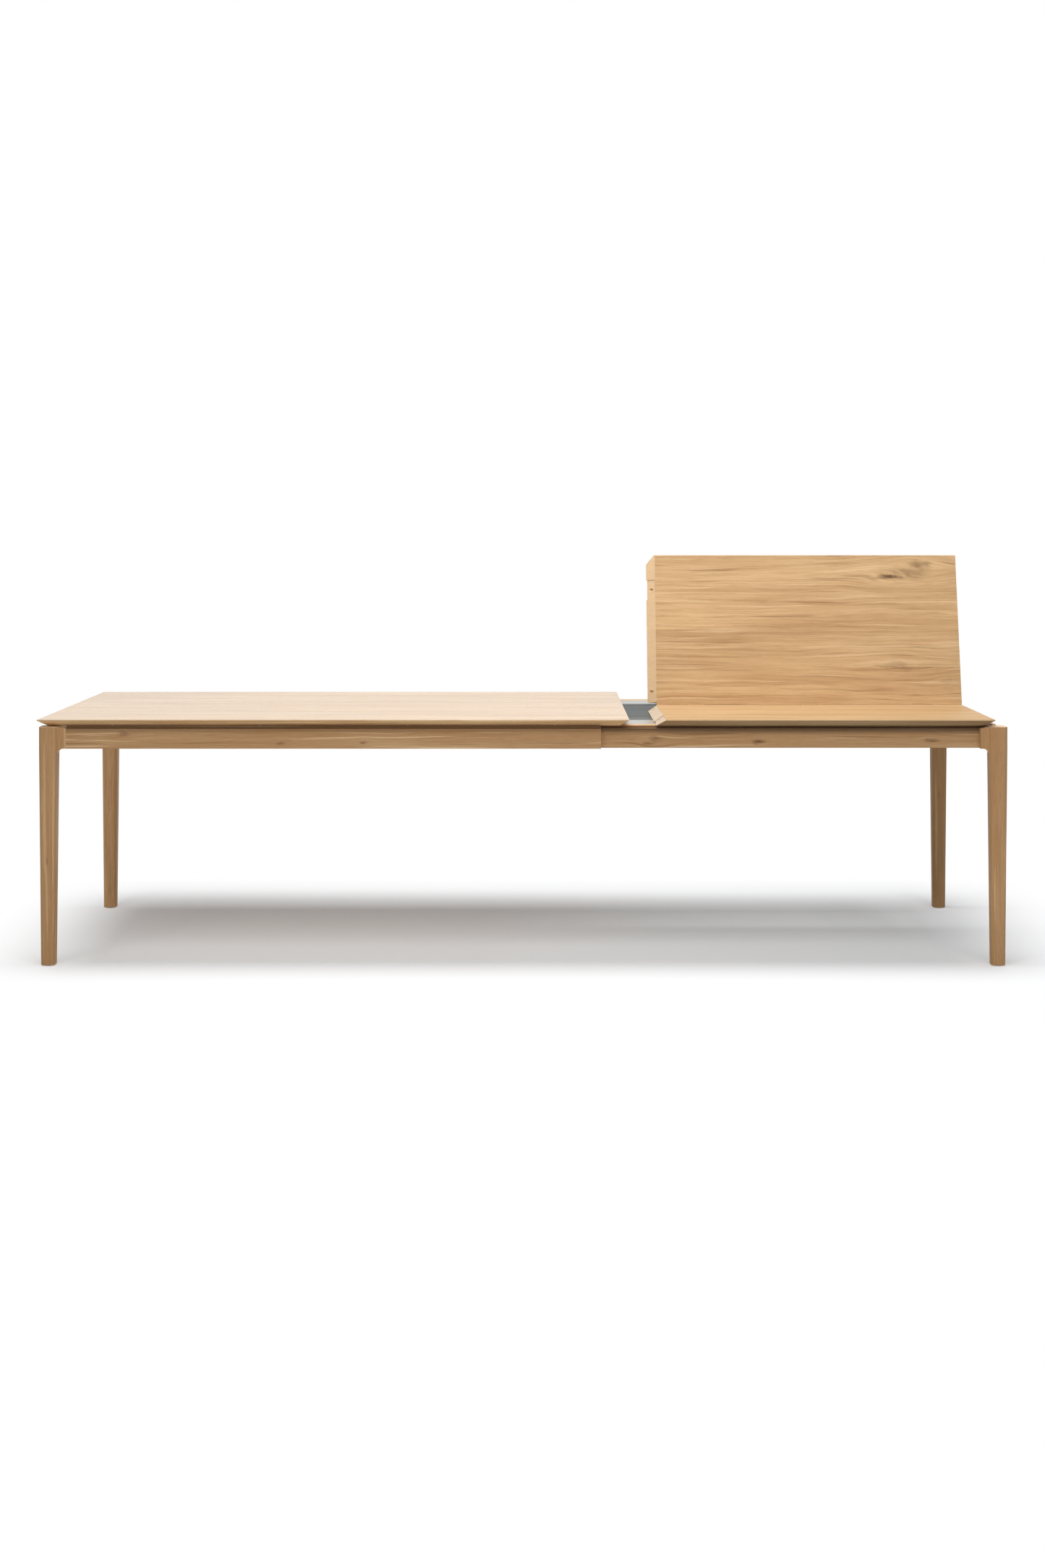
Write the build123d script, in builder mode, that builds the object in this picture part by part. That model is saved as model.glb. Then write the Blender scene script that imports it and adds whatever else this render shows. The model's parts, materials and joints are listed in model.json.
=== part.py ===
from build123d import *
import math
import os

# Extendable oak dining table, drawn out, with its two-part leaf half unfolded.
# Millimetres. X runs along the table, Y away from the front edge, Z up.
# The origin is on the floor, under the middle of the table as it stands drawn out.

os.makedirs("parts", exist_ok=True)

# Table tops
table_height = 750
top_length = 1800
top_width = 1000
top_thickness = 20
edge_land = 3
meeting_land = 1
bevel_run = 28
edge_round = 0.8

# Leaf and how far the frame is drawn out past it
leaf_length = 1000
pull_out = 154
leaf_gap = 111
fold_angle = 77
fold_seam = 0.4
fold_lift = 0.25
lip_notch = 8

# Legs
leg_size = 54
leg_corner = 10
leg_inset = 4
leg_outer_taper = 5
foot_size = 43
foot_corner = 12
foot_round = 2.5
wing_length = 27
wing_radius = 20
wing_inset = 8
wing_round = 1.5
shadow_gap = 2
glide_height = 2
glide_diameter = 30
glide_stud_diameter = 7
glide_stud_length = 18

# Rails
rail_drop = 89
rail_thickness = 22
rail_clearance = 1.5
rail_end_gap = 1
rail_overlap = 409
rail_round = 2
groove_depth = 11
groove_height = 7

# Slides
batten_width = 40
corner_room = 91
channel_width = 120
channel_height = 42
channel_wall = 3
slot_height = 8
slot_drop = 4
runner_plate = 4
runner_reach = 110
runner_flange = 40
runner_gap = 3.5
runner_tail = 62
runner_lead = 11
shoe_length = 80
shoe_gap = 0.5
shoe_inset = 5
stop_length = 19.5
stop_clearance = 2

# Storage tray and its lift
tray_half_width = 215
tray_thickness = 6
tray_under_top = 60
tray_end_gap = 51
edging_width = 3
arm_length = 50
arm_width = 14
arm_plate = 5
arm_lean = 4
arm_row = 190
shaft_diameter = 8
shaft_overhang = 16
pivot_rise = 10
ear_length = 16
ear_plate = 8
ear_gap = 3
ear_edge = 7
stop_post_gap = 0.25
stop_post_length = 8
stop_post_height = 20
hanger_width = 40
hanger_plate = 5
hanger_depth = 31
hanger_flange = 45
hanger_offset = 9
hanger_bend = 6
hanger_inset_left = 44
hanger_inset_right = 236
tie_width = 40
tie_plate = 6

# Rest pads and leaf guides
pad_length = 60
pad_width = 14
rail_pad_width = 9
pad_gap = 0.3
pad_end_inset = 110
tray_pad_row = 100
guide_pin_diameter = 8
guide_pin_reach = 6
guide_pin_depth = 10
guide_row = 150
guide_end_inset = 200
guide_slot_back = 6
guide_slot_gap = 0.4
guide_slot_spare = 28

# Fold hinges
hinge_length = 60
hinge_end_inset = 130
hinge_drop = 16
hinge_plate = 2
knuckle_radius = 3
knuckle_count = 5
knuckle_gap = 0.3
knuckle_clearance = 0.4
hinge_pin_diameter = 3
hinge_screw_row = 20
hinge_screw_drop = 9.5
hinge_screw_length = 16
hinge_screw_head = 6
hinge_screw_head_height = 1.2
hinge_screw_shank = 3

# Fasteners, dowels and small fittings
fit_clearance = 0.05
align_pin_diameter = 8
align_pin_depth = 55
align_pin_clearance = 0.3
align_tip_back = 0.5
align_hole_depth = 6
align_row_inner = 45
align_row_outer = 385
align_pocket_length = 66
align_pocket_depth = 3
dowel_diameter = 10
dowel_depth = 20
dowel_rise = 19
dowel_spacing = 28
top_dowel_diameter = 8
top_dowel_depth = 12
top_dowel_root = 20
top_dowel_count = 4
top_dowel_end_inset = 140
bar_count = 3
bar_width = 25
bar_thickness = 8
bar_length = 760
bar_end_inset = 330
bar_fit = 0.25
bar_screw_row = 300
wood_screw_diameter = 4.5
wood_screw_head = 9
wood_screw_head_height = 2.5
wood_screw_bite = 10
runner_screw_count = 6
runner_screw_inset = 80
clip_count = 3
clip_width = 30
clip_plate = 2
clip_tongue = 8
clip_step = 6
clip_flange = 26
clip_drop = 14
clip_spacing = 280
clip_clearance = 2
corner_leg = 62
corner_flange = 40
corner_plate = 4
corner_height = 46
hanger_bolt_diameter = 8
hanger_bolt_bite = 42
hanger_bolt_tail = 14
hanger_bolt_spacing = 26
nut_size = 13
nut_height = 6.5
channel_bolt_diameter = 6
channel_bolt_head = 10
channel_bolt_head_height = 4
channel_bolt_back = 0.2

# Levels worked out from the sizes above
top_z = table_height
land_z = top_z - edge_land
meeting_z = top_z - meeting_land
under_z = top_z - top_thickness
frame_z = under_z - shadow_gap
rail_bottom = table_height - rail_drop
groove_z = frame_z - groove_height
rail_middle = (rail_bottom + frame_z) / 2
channel_bottom = frame_z - channel_height
slot_top = frame_z - slot_drop
slot_bottom = slot_top - slot_height
runner_top = (slot_top + slot_bottom) / 2 + runner_plate / 2
runner_bottom = runner_top - runner_plate
bevel_middle = (land_z + under_z) / 2

# Places along the table
frame_length = top_length + leaf_length + pull_out - leg_inset
x_left = -frame_length / 2
x_right = frame_length / 2
top_right = x_left + top_length
leaf_left = top_right + leaf_gap
leaf_right = leaf_left + leaf_length
leg_left = x_left + leg_inset
leg_left_inner = leg_left + leg_size
leg_right_inner = x_right - leg_size
outer_rail_left = leg_left_inner + wing_length
outer_rail_right = top_right - leg_inset - leg_size - wing_length - rail_end_gap
inner_rail_left = outer_rail_right - rail_overlap
slide_right = leg_right_inner - corner_room
closing_travel = leaf_length + pull_out
slide_right_closed = slide_right - closing_travel
end_face_left = leg_left + wing_inset + rail_thickness
end_face_right = x_right - wing_inset - rail_thickness
tray_left = top_right - tray_under_top
tray_right = end_face_right - tray_end_gap
leaf_shift = pull_out - leaf_gap

# Places across the table, as distances from the middle line
half_width = top_width / 2
leg_outer_y = half_width - leg_inset
leg_inner_y = leg_outer_y - leg_size
outer_rail_y = leg_outer_y - wing_inset
outer_rail_inner_y = outer_rail_y - rail_thickness
inner_rail_y = outer_rail_inner_y - rail_clearance
inner_rail_inner_y = inner_rail_y - rail_thickness
channel_y = inner_rail_inner_y - batten_width
channel_inner_y = channel_y - channel_width
runner_web_y = channel_inner_y - runner_gap
runner_flange_y = runner_web_y - runner_flange
end_rail_y = leg_inner_y - wing_length

# The two ends and the two sides, as the sign that points to each
front = -1
back = 1
sides = (front, back)


def at_y(y):
    """Upright plane across the table at y, facing the front."""
    return Plane.XZ.offset(-y)


def at_x(x):
    """Upright plane across the length at x."""
    return Plane.YZ.offset(x)


def at_z(z):
    """Level plane at height z."""
    return Plane.XY.offset(z)


def block(x_span, y_span, z_span, mode=Mode.ADD):
    """Square-edged block between two values on each axis."""
    spans = (x_span, y_span, z_span)
    middle = tuple((low + high) / 2 for low, high in spans)
    size = tuple(abs(high - low) for low, high in spans)
    with Locations(middle):
        Box(*size, mode=mode)


def rod(start, direction, diameter, length, mode=Mode.ADD):
    """Round bar from a point along a direction."""
    with Locations(Plane(origin=start, z_dir=direction)):
        Cylinder(diameter / 2, length, align=(Align.CENTER, Align.CENTER, Align.MIN), mode=mode)


def spread(low, high, count):
    """Evenly spaced values from low to high."""
    return [low + (high - low) * step / (count - 1) for step in range(count)]


def bevel_outline(low, high, low_run, high_run, top, low_land, high_land, under):
    """Cross-section of a top: flat above, thin edges, sloped in or out by the two runs."""
    above = [(low, top), (high, top), (high, high_land)]
    below = [(high - high_run, under), (low + low_run, under), (low, low_land)]
    return above + below


def save(part, label):
    """Name a finished piece and write it out."""
    part.label = label
    export_step(part, f"parts/{label}.step")


# Repeated places of dowels, bolts and screws
dowel_levels = [rail_bottom + dowel_rise, rail_bottom + dowel_rise + dowel_spacing]
bolt_levels = [rail_middle - hanger_bolt_spacing / 2, rail_middle + hanger_bolt_spacing / 2]
outer_dowel_y = (outer_rail_y + outer_rail_inner_y) / 2
inner_dowel_y = (inner_rail_y + inner_rail_inner_y) / 2
top_dowel_y = outer_rail_inner_y + (rail_thickness - groove_depth) / 2
end_dowel_left = end_face_left - rail_thickness / 2
end_dowel_right = end_face_right + rail_thickness / 2
top_dowel_left = outer_rail_left + top_dowel_end_inset
top_dowel_right = outer_rail_right - top_dowel_end_inset
top_dowel_places = spread(top_dowel_left, top_dowel_right, top_dowel_count)
bar_places = spread(x_left + bar_end_inset, top_right - bar_end_inset, bar_count)
bar_screw_rows = (-bar_screw_row, 0, bar_screw_row)
align_rows = (-align_row_outer, -align_row_inner, align_row_inner, align_row_outer)
runner_left = end_face_left + runner_tail
runner_right = slide_right_closed - runner_lead
runner_screw_left = runner_left + runner_screw_inset
runner_screw_right = runner_right - runner_screw_inset
runner_screw_places = spread(runner_screw_left, runner_screw_right, runner_screw_count)
runner_screw_y = (runner_web_y - runner_plate + runner_flange_y) / 2
clip_rows = spread(-clip_spacing, clip_spacing, clip_count)
clip_screw_x = end_face_left + clip_step + clip_flange / 2
screw_hole = wood_screw_diameter + 2 * fit_clearance


# Main top, bevelled underneath on all four edges
with BuildPart() as main_top:
    with BuildSketch(Plane.XZ):
        with BuildLine():
            levels = (top_z, land_z, meeting_z, under_z)
            outline = bevel_outline(x_left, top_right, bevel_run, bevel_run, *levels)
            Polyline(*outline, close=True)
        make_face()
    extrude(amount=half_width, both=True)
    with BuildSketch(Plane.YZ):
        with BuildLine():
            levels = (top_z, land_z, land_z, under_z)
            outline = bevel_outline(-half_width, half_width, bevel_run, bevel_run, *levels)
            Polyline(*outline, close=True)
        make_face()
    extrude(amount=frame_length, both=True, mode=Mode.INTERSECT)
    fillet(main_top.edges().group_by(Axis.Z)[-1], radius=edge_round)
    for bar_x in bar_places:
        groove = bar_width / 2 + bar_fit
        block(
            (bar_x - groove, bar_x + groove),
            (-bar_length / 2 - bar_fit, bar_length / 2 + bar_fit),
            (under_z, under_z + bar_thickness),
            mode=Mode.SUBTRACT,
        )
        for row in bar_screw_rows:
            depth = bar_thickness + wood_screw_bite
            rod((bar_x, row, under_z), (0, 0, 1), screw_hole, depth, mode=Mode.SUBTRACT)
    for row in align_rows:
        hole = align_pin_diameter + 2 * fit_clearance
        rod((top_right, row, bevel_middle), (-1, 0, 0), hole, align_pin_depth, mode=Mode.SUBTRACT)
    for side in sides:
        for dowel_x in top_dowel_places:
            hole = top_dowel_diameter + 2 * fit_clearance
            start = (dowel_x, side * top_dowel_y, under_z)
            rod(start, (0, 0, 1), hole, top_dowel_depth, mode=Mode.SUBTRACT)
        for screw_x in runner_screw_places:
            start = (screw_x, side * runner_screw_y, under_z)
            rod(start, (0, 0, 1), screw_hole, wood_screw_bite, mode=Mode.SUBTRACT)
    for row in clip_rows:
        rod((clip_screw_x, row, under_z), (0, 0, 1), screw_hole, wood_screw_bite, mode=Mode.SUBTRACT)
save(main_top.part, "main_top")

# Steel bars let in flush under the main top, and their screws
with BuildPart() as stiffener_bars:
    for bar_x in bar_places:
        block(
            (bar_x - bar_width / 2, bar_x + bar_width / 2),
            (-bar_length / 2, bar_length / 2),
            (under_z, under_z + bar_thickness),
        )
        for row in bar_screw_rows:
            rod((bar_x, row, under_z), (0, 0, 1), screw_hole, bar_thickness, mode=Mode.SUBTRACT)
            rod(
                (bar_x, row, under_z),
                (0, 0, 1),
                wood_screw_head + 2 * fit_clearance,
                wood_screw_head_height,
                mode=Mode.SUBTRACT,
            )
save(stiffener_bars.part, "stiffener_bars")

with BuildPart() as stiffener_screws:
    for bar_x in bar_places:
        for row in bar_screw_rows:
            rod((bar_x, row, under_z), (0, 0, 1), wood_screw_head, wood_screw_head_height)
            rod((bar_x, row, under_z), (0, 0, 1), wood_screw_diameter, bar_thickness + wood_screw_bite)
save(stiffener_screws.part, "stiffener_screws")

# Alignment pins in the right-hand bevel of the main top
with BuildPart() as alignment_pins:
    for row in align_rows:
        pin_length = align_pin_depth - align_tip_back
        rod((top_right - align_tip_back, row, bevel_middle), (-1, 0, 0), align_pin_diameter, pin_length)
save(alignment_pins.part, "alignment_pins")


def corner_axis(face_x, face_y, inward_x, inward_y):
    """Middle of a corner plate and the way from it into the leg."""
    middle = (corner_leg + corner_plate / 2) / 2
    return (face_x + inward_x * middle, face_y + inward_y * middle), (-inward_x, -inward_y, 0)


def make_leg(label, x_outer, inward_x, inward_y, wing_depth, face_x, rail_face_y, rail_end_x, rail_dowel_y):
    """Tapered leg with rounded corners and a shoulder wing towards each rail."""
    y_outer = -inward_y * leg_outer_y
    x_inner = x_outer + inward_x * leg_size
    y_inner = y_outer + inward_y * leg_size
    shoulder = (x_outer + inward_x * leg_size / 2, y_outer + inward_y * leg_size / 2)
    foot_reach = leg_outer_taper + foot_size / 2
    foot = (x_outer + inward_x * foot_reach, y_outer + inward_y * foot_reach)
    wing_root = leg_size / 2

    with BuildPart() as leg:
        with BuildSketch(at_z(glide_height)):
            with Locations(foot):
                RectangleRounded(foot_size, foot_size, foot_corner)
        with BuildSketch(at_z(rail_bottom)):
            with Locations(shoulder):
                RectangleRounded(leg_size, leg_size, leg_corner)
        loft()
        fillet(leg.edges().group_by(Axis.Z)[0], radius=foot_round)
        with BuildSketch(at_z(rail_bottom)):
            with Locations(shoulder):
                RectangleRounded(leg_size, leg_size, leg_corner)
        extrude(amount=frame_z - rail_bottom)
        # Wing along the table
        with BuildSketch(at_y(y_outer + inward_y * wing_inset)):
            with BuildLine():
                tip = x_inner + inward_x * wing_length
                curve_start = (x_inner + inward_x * wing_radius, rail_bottom)
                curve_end = (x_inner, rail_bottom - wing_radius)
                root_low = (x_inner - inward_x * wing_root, rail_bottom - wing_radius)
                root_high = (x_inner - inward_x * wing_root, frame_z)
                TangentArc(curve_start, curve_end, tangent=(-inward_x, 0))
                Polyline(curve_end, root_low, root_high, (tip, frame_z), (tip, rail_bottom), curve_start)
            make_face()
        extrude(amount=-inward_y * wing_depth)
        # Wing across the table
        with BuildSketch(at_x(x_outer + inward_x * wing_inset)):
            with BuildLine():
                tip = y_inner + inward_y * wing_length
                curve_start = (y_inner + inward_y * wing_radius, rail_bottom)
                curve_end = (y_inner, rail_bottom - wing_radius)
                root_low = (y_inner - inward_y * wing_root, rail_bottom - wing_radius)
                root_high = (y_inner - inward_y * wing_root, frame_z)
                TangentArc(curve_start, curve_end, tangent=(-inward_y, 0))
                Polyline(curve_end, root_low, root_high, (tip, frame_z), (tip, rail_bottom), curve_start)
            make_face()
        extrude(amount=inward_x * rail_thickness)
        fillet(leg.edges().group_by(Axis.Z)[-1], radius=wing_round)
        # The wings slope down to the rails' shadow grooves
        slope_x = [
            (x_inner, frame_z),
            (x_inner + inward_x * wing_length, groove_z),
            (x_inner + inward_x * wing_length, frame_z),
        ]
        with BuildSketch(at_y(y_outer)):
            with BuildLine():
                Polyline(*slope_x, close=True)
            make_face()
        extrude(amount=-inward_y * (wing_inset + wing_depth), mode=Mode.SUBTRACT)
        slope_y = [
            (y_inner, frame_z),
            (y_inner + inward_y * wing_length, groove_z),
            (y_inner + inward_y * wing_length, frame_z),
        ]
        with BuildSketch(at_x(x_outer)):
            with BuildLine():
                Polyline(*slope_y, close=True)
            make_face()
        extrude(amount=inward_x * (wing_inset + rail_thickness), mode=Mode.SUBTRACT)
        # Holes for dowels, hanger bolts and the glide's stud
        dowel_hole = dowel_diameter + 2 * fit_clearance
        end_dowel_x = x_outer + inward_x * (wing_inset + rail_thickness / 2)
        for level in dowel_levels:
            long_start = (rail_end_x, -inward_y * rail_dowel_y, level)
            end_start = (end_dowel_x, y_inner + inward_y * wing_length, level)
            rod(long_start, (-inward_x, 0, 0), dowel_hole, dowel_depth, mode=Mode.SUBTRACT)
            rod(end_start, (0, -inward_y, 0), dowel_hole, dowel_depth, mode=Mode.SUBTRACT)
        (bolt_x, bolt_y), into_leg = corner_axis(face_x, rail_face_y, inward_x, inward_y)
        for level in bolt_levels:
            bolt_hole = hanger_bolt_diameter + 2 * fit_clearance
            rod((bolt_x, bolt_y, level), into_leg, bolt_hole, hanger_bolt_bite, mode=Mode.SUBTRACT)
        stud_hole = glide_stud_diameter + 2 * fit_clearance
        rod((*foot, glide_height), (0, 0, 1), stud_hole, glide_stud_length, mode=Mode.SUBTRACT)
    save(leg.part, label)


def make_glides(label, x_outer, inward_x):
    """Pair of foot glides with their studs."""
    reach = leg_outer_taper + foot_size / 2
    with BuildPart() as glides:
        for side in sides:
            foot = (x_outer + inward_x * reach, side * (leg_outer_y - reach), 0)
            rod(foot, (0, 0, 1), glide_diameter, glide_height)
            rod(foot, (0, 0, 1), glide_stud_diameter, glide_height + glide_stud_length)
    save(glides.part, label)


def make_long_rail(label, x_span, side, y_inner, rail_top, dowel_x, into_rail, dowel_y, top_holes):
    """Long rail with dowel holes, rounded lower edges and a shadow groove along its upper outer edge."""
    with BuildPart() as rail:
        y_outer = y_inner + rail_thickness
        block(x_span, (side * y_inner, side * y_outer), (rail_bottom, rail_top))
        fillet(rail.edges().filter_by(Axis.X).group_by(Axis.Z)[0], radius=rail_round)
        groove_y = (side * (y_outer - groove_depth), side * y_outer)
        block(x_span, groove_y, (groove_z, rail_top), mode=Mode.SUBTRACT)
        for level in dowel_levels:
            hole = dowel_diameter + 2 * fit_clearance
            start = (dowel_x, side * dowel_y, level)
            rod(start, (into_rail, 0, 0), hole, dowel_depth, mode=Mode.SUBTRACT)
        for hole_x in top_holes:
            hole = top_dowel_diameter + 2 * fit_clearance
            start = (hole_x, side * top_dowel_y, rail_top)
            rod(start, (0, 0, -1), hole, top_dowel_root, mode=Mode.SUBTRACT)
    save(rail.part, label)


def make_end_rail(label, face_x, outward_x, rail_top, clips):
    """End rail between two legs, with dowel holes and slots for the clips that hold the top."""
    dowel_x = face_x + outward_x * rail_thickness / 2
    with BuildPart() as rail:
        x_span = (face_x, face_x + outward_x * rail_thickness)
        block(x_span, (-end_rail_y, end_rail_y), (rail_bottom, rail_top))
        fillet(rail.edges().filter_by(Axis.Y).group_by(Axis.Z)[0], radius=rail_round)
        groove_x = (x_span[1] - outward_x * groove_depth, x_span[1])
        block(groove_x, (-end_rail_y, end_rail_y), (groove_z, rail_top), mode=Mode.SUBTRACT)
        for side in sides:
            for level in dowel_levels:
                hole = dowel_diameter + 2 * fit_clearance
                start = (dowel_x, side * end_rail_y, level)
                rod(start, (0, -side, 0), hole, dowel_depth, mode=Mode.SUBTRACT)
        for row in clips:
            block(
                (face_x, face_x + outward_x * (clip_tongue + clip_clearance)),
                (row - clip_width / 2 - clip_clearance, row + clip_width / 2 + clip_clearance),
                (under_z - clip_drop - clip_plate / 2, under_z - clip_drop + clip_plate / 2),
                mode=Mode.SUBTRACT,
            )
    save(rail.part, label)


def make_rail_dowels(label, end_x, into_rail, long_dowel_y, end_dowel_x):
    """Dowels of one frame's rail joints."""
    with BuildPart() as dowels:
        for side in sides:
            for level in dowel_levels:
                long_start = (end_x - into_rail * dowel_depth, side * long_dowel_y, level)
                end_start = (end_dowel_x, side * (end_rail_y + dowel_depth), level)
                rod(long_start, (into_rail, 0, 0), dowel_diameter, 2 * dowel_depth)
                rod(end_start, (0, -side, 0), dowel_diameter, 2 * dowel_depth)
    save(dowels.part, label)


def make_corner_plates(label, face_x, inward_x, rail_face_y):
    """Bent steel plates across the two inner corners of a frame."""
    with BuildPart() as plates:
        for side in sides:
            start = (face_x, side * rail_face_y)
            near = corner_plate / 2
            far = corner_leg + corner_flange
            with BuildSketch(at_z(rail_middle - corner_height / 2)):
                with BuildLine():
                    Polyline(
                        (start[0] + inward_x * far, start[1] - side * near),
                        (start[0] + inward_x * corner_leg, start[1] - side * near),
                        (start[0] + inward_x * near, start[1] - side * corner_leg),
                        (start[0] + inward_x * near, start[1] - side * far),
                    )
                trace(line_width=corner_plate)
            extrude(amount=corner_height)
            (bolt_x, bolt_y), into_leg = corner_axis(face_x, side * rail_face_y, inward_x, -side)
            for level in bolt_levels:
                away = corner_leg / 2
                hole_start = (bolt_x + inward_x * away, bolt_y - side * away, level)
                hole = hanger_bolt_diameter + 2 * fit_clearance
                rod(hole_start, into_leg, hole, 2 * corner_leg, mode=Mode.SUBTRACT)
    save(plates.part, label)


def make_leg_bolts(bolts_label, nuts_label, face_x, inward_x, rail_face_y):
    """Hanger bolts from the corner plates into the legs, and their nuts."""
    seat = corner_plate / 2
    with BuildPart() as bolts:
        for side in sides:
            (bolt_x, bolt_y), into_leg = corner_axis(face_x, side * rail_face_y, inward_x, -side)
            tail = hanger_bolt_tail / math.sqrt(2)
            for level in bolt_levels:
                start = (bolt_x + inward_x * tail, bolt_y - side * tail, level)
                rod(start, into_leg, hanger_bolt_diameter, hanger_bolt_tail + hanger_bolt_bite)
    save(bolts.part, bolts_label)
    with BuildPart() as nuts:
        for side in sides:
            (bolt_x, bolt_y), into_leg = corner_axis(face_x, side * rail_face_y, inward_x, -side)
            for level in bolt_levels:
                off = seat / math.sqrt(2)
                start = (bolt_x + inward_x * off, bolt_y - side * off, level)
                with BuildSketch(Plane(origin=start, x_dir=(0, 0, 1), z_dir=(inward_x, -side, 0))):
                    RegularPolygon(nut_size / 2, 6, major_radius=False)
                    Circle(hanger_bolt_diameter / 2 + fit_clearance, mode=Mode.SUBTRACT)
                extrude(amount=nut_height)
    save(nuts.part, nuts_label)


# Left frame, fixed to the main top
for side, place in zip(sides, ("front", "back")):
    make_leg(
        f"leg_{place}_left",
        leg_left,
        1,
        -side,
        rail_thickness,
        end_face_left,
        side * outer_rail_inner_y,
        outer_rail_left,
        outer_dowel_y,
    )
    make_long_rail(
        f"rail_{place}_left",
        (outer_rail_left, outer_rail_right),
        side,
        outer_rail_inner_y,
        under_z,
        outer_rail_left,
        1,
        outer_dowel_y,
        top_dowel_places,
    )
make_end_rail("end_rail_left", end_face_left, -1, under_z, clip_rows)
make_rail_dowels("rail_dowels_left", outer_rail_left, 1, outer_dowel_y, end_dowel_left)
make_corner_plates("corner_plates_left", end_face_left, 1, outer_rail_inner_y)
make_leg_bolts("leg_bolts_left", "leg_nuts_left", end_face_left, 1, outer_rail_inner_y)
make_glides("foot_glides_left", leg_left, 1)

with BuildPart() as top_dowels:
    for side in sides:
        for dowel_x in top_dowel_places:
            start = (dowel_x, side * top_dowel_y, under_z - top_dowel_root)
            rod(start, (0, 0, 1), top_dowel_diameter, top_dowel_root + top_dowel_depth)
save(top_dowels.part, "top_dowels")

# Clips that hold the main top to the left end rail, and their screws
with BuildPart() as top_clips:
    clip_level = under_z - clip_plate / 2
    for row in clip_rows:
        with BuildSketch(at_y(row)):
            with BuildLine():
                Polyline(
                    (end_face_left - clip_tongue, under_z - clip_drop),
                    (end_face_left + clip_step, under_z - clip_drop),
                    (end_face_left + clip_step, clip_level),
                    (end_face_left + clip_step + clip_flange, clip_level),
                )
            trace(line_width=clip_plate)
        extrude(amount=clip_width / 2, both=True)
        start = (clip_screw_x, row, under_z - clip_plate)
        rod(start, (0, 0, 1), screw_hole, clip_plate, mode=Mode.SUBTRACT)
save(top_clips.part, "top_clips")

# Screws into the main top: through the clips and through the runners' flanges
with BuildPart() as top_screws:
    for row in clip_rows:
        seat = under_z - clip_plate
        rod((clip_screw_x, row, seat), (0, 0, -1), wood_screw_head, wood_screw_head_height)
        rod((clip_screw_x, row, seat), (0, 0, 1), wood_screw_diameter, clip_plate + wood_screw_bite)
    for side in sides:
        for screw_x in runner_screw_places:
            start = (screw_x, side * runner_screw_y, under_z - runner_plate)
            rod(start, (0, 0, -1), wood_screw_head, wood_screw_head_height)
            rod(start, (0, 0, 1), wood_screw_diameter, runner_plate + wood_screw_bite)
save(top_screws.part, "top_screws")

# Steel runners under the main top: flange, web, and a lower flange that reaches into the channel
shoe_top = slot_top + slot_drop - channel_wall - shoe_gap
shoe_bottom = channel_bottom + channel_wall + shoe_gap
shoe_outer_y = channel_y - channel_wall - shoe_gap
shoe_inner_y = channel_inner_y + channel_wall + shoe_gap
stop_right = inner_rail_left + stop_length
shoe_places = (
    (stop_right + shoe_gap, stop_right + shoe_gap + shoe_length),
    (runner_right - shoe_inset - shoe_length, runner_right - shoe_inset),
)
for side, place in zip(sides, ("front", "back")):
    with BuildPart() as runner:
        with BuildSketch(at_x(runner_left)):
            with BuildLine():
                inside_y = channel_inner_y + runner_reach
                Polyline(
                    (side * inside_y, runner_bottom),
                    (side * (runner_web_y - runner_plate), runner_bottom),
                    (side * (runner_web_y - runner_plate), under_z - runner_plate),
                    (side * runner_flange_y, under_z - runner_plate),
                    (side * runner_flange_y, under_z),
                    (side * runner_web_y, under_z),
                    (side * runner_web_y, runner_top),
                    (side * inside_y, runner_top),
                    close=True,
                )
            make_face()
        extrude(amount=runner_right - runner_left)
        for screw_x in runner_screw_places:
            start = (screw_x, side * runner_screw_y, under_z - runner_plate)
            rod(start, (0, 0, 1), screw_hole, runner_plate, mode=Mode.SUBTRACT)
    save(runner.part, f"slide_runner_{place}")

# Nylon shoes on the runners, sliding inside the channels
with BuildPart() as slide_shoes:
    for side in sides:
        for shoe_span in shoe_places:
            block(shoe_span, (side * shoe_inner_y, side * shoe_outer_y), (shoe_bottom, shoe_top))
            block(
                shoe_span,
                (side * shoe_inner_y, side * (channel_inner_y + runner_reach)),
                (runner_bottom, runner_top),
                mode=Mode.SUBTRACT,
            )
save(slide_shoes.part, "slide_shoes")

# Right frame, which slides
for side, place in zip(sides, ("front", "back")):
    make_leg(
        f"leg_{place}_right",
        x_right,
        -1,
        -side,
        rail_thickness + rail_clearance,
        end_face_right,
        side * inner_rail_inner_y,
        leg_right_inner,
        inner_dowel_y,
    )
    make_long_rail(
        f"rail_{place}_right",
        (inner_rail_left, leg_right_inner),
        side,
        inner_rail_inner_y,
        frame_z,
        leg_right_inner,
        -1,
        inner_dowel_y,
        (),
    )
    with BuildPart() as batten:
        block(
            (inner_rail_left, slide_right),
            (side * channel_y, side * inner_rail_inner_y),
            (channel_bottom, frame_z),
        )
    save(batten.part, f"slide_batten_{place}")
make_end_rail("end_rail_right", end_face_right, 1, frame_z, ())
make_rail_dowels("rail_dowels_right", leg_right_inner, -1, inner_dowel_y, end_dowel_right)
make_corner_plates("corner_plates_right", end_face_right, -1, inner_rail_inner_y)
make_leg_bolts("leg_bolts_right", "leg_nuts_right", end_face_right, -1, inner_rail_inner_y)
make_glides("foot_glides_right", x_right, -1)

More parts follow.
